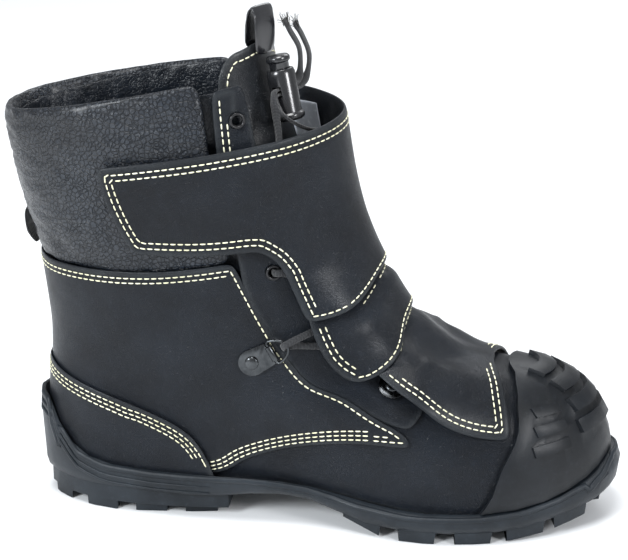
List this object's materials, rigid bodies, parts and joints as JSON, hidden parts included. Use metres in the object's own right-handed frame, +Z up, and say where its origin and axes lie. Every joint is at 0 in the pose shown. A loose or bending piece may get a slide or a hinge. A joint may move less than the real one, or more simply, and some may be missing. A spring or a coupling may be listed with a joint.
{
  "type": "firefighter boot",
  "caption": "Lace-up black leather firefighting boot with a padded collar, hook-and-loop front flap, rubber toe guard, D-ring lace hooks, a cord lock and a lugged rubber sole.",
  "frame": {"origin": "middle of the boot's outline, on the floor it stands on", "axes": "+X to the toe, +Y to the inner (medial) side, +Z up"},
  "size_m": [0.3262, 0.1138, 0.2714],
  "materials": {
    "black_leather": "smooth, slightly waxy",
    "soft_leather": "grained and padded",
    "lining": "glossy, crinkled",
    "knit": "matt",
    "sole_rubber": "satin",
    "guard_rubber": "satin",
    "gunmetal": "dark, polished",
    "steel": "plain",
    "black_plastic": "gloss",
    "black_metal": "black",
    "board": "matt",
    "foam": "matt",
    "webbing": "ribbed",
    "tape": "hooked",
    "grey_patch": "plain"
  },
  "bodies": {
    "boot": {"outsole": "sole_rubber", "midsole": "foam", "shank": "steel", "penetration_plate": "steel", "insole_board": "board", "sockliner": "foam", "vamp_lining": "knit", "shaft_lining": "lining", "toe_protector": "steel", "vamp": "black_leather", "heel_stiffener": "board", "ankle_padding": "foam", "quarter_lateral": "black_leather", "quarter_medial": "black_leather", "heel_cover": "black_leather", "facing_lateral": "black_leather", "facing_medial": "black_leather", "collar_pad": "soft_leather", "toe_guard": "guard_rubber", "flap_gusset": "black_leather", "flap_lower": "black_leather", "loop_tape": "tape", "tongue": "black_leather", "tongue_pull_tab": "black_plastic", "hook_plate_ankle_lateral": "gunmetal", "hook_rivet_ankle_lateral": "gunmetal", "hook_plate_ankle_medial": "gunmetal", "hook_rivet_ankle_medial": "gunmetal", "hook_plate_instep_lateral": "gunmetal", "hook_rivet_instep_lateral": "gunmetal", "hook_plate_instep_medial": "gunmetal", "hook_rivet_instep_medial": "gunmetal", "eyelet_1_lateral": "black_metal", "eyelet_1_medial": "black_metal", "eyelet_2_lateral": "black_metal", "eyelet_2_medial": "black_metal", "eyelet_3_lateral": "black_metal", "eyelet_3_medial": "black_metal", "cord_lock_barrel": "black_plastic", "cord_lock_spring": "steel", "lace": "webbing", "lace_tail_a": "webbing", "lace_tail_b": "webbing", "rear_pull_loop": "webbing"},
    "flap": {"flap_upper": "black_leather", "hook_tape": "tape", "flap_patch": "grey_patch"},
    "lock_plunger": {"cord_lock_plunger": "black_plastic"},
    "ring_ankle_lateral": {"d_ring_ankle_lateral": "gunmetal"},
    "ring_ankle_medial": {"d_ring_ankle_medial": "gunmetal"},
    "ring_instep_lateral": {"d_ring_instep_lateral": "gunmetal"},
    "ring_instep_medial": {"d_ring_instep_medial": "gunmetal"}
  },
  "joints": [
    {"name": "flap_open", "type": "hinge", "parent": "boot", "child": "flap", "pos_m": [-0.01133, 0.04482, 0.116], "axis": [-0.3465, 0.08, 0.9346], "range_deg": [0, 75]},
    {"name": "ring_ankle_lateral_turn", "type": "hinge", "parent": "boot", "child": "ring_ankle_lateral", "pos_m": [-0.01751, -0.04487, 0.0999], "axis": [-0.5036, 0.0183, 0.8637], "range_deg": [-3, 3]},
    {"name": "ring_ankle_medial_turn", "type": "hinge", "parent": "boot", "child": "ring_ankle_medial", "pos_m": [-0.01757, 0.04532, 0.09986], "axis": [0.504, 0.0166, -0.8636], "range_deg": [-3, 3]},
    {"name": "ring_instep_lateral_turn", "type": "hinge", "parent": "boot", "child": "ring_instep_lateral", "pos_m": [0.05412, -0.03373, 0.08567], "axis": [-0.4948, 0.6544, 0.5719], "range_deg": [-3, 3]},
    {"name": "ring_instep_medial_turn", "type": "hinge", "parent": "boot", "child": "ring_instep_medial", "pos_m": [0.05395, 0.03641, 0.08587], "axis": [0.4819, 0.6848, -0.5466], "range_deg": [-3, 3]},
    {"name": "lock_press", "type": "slide", "parent": "boot", "child": "lock_plunger", "axis": [0.1996, -0.0599, -0.978], "range_m": [0, 0.003], "stiffness_N_per_m": 400, "springref_m": -0.002, "deforming": ["cord_lock_spring"]}
  ]
}
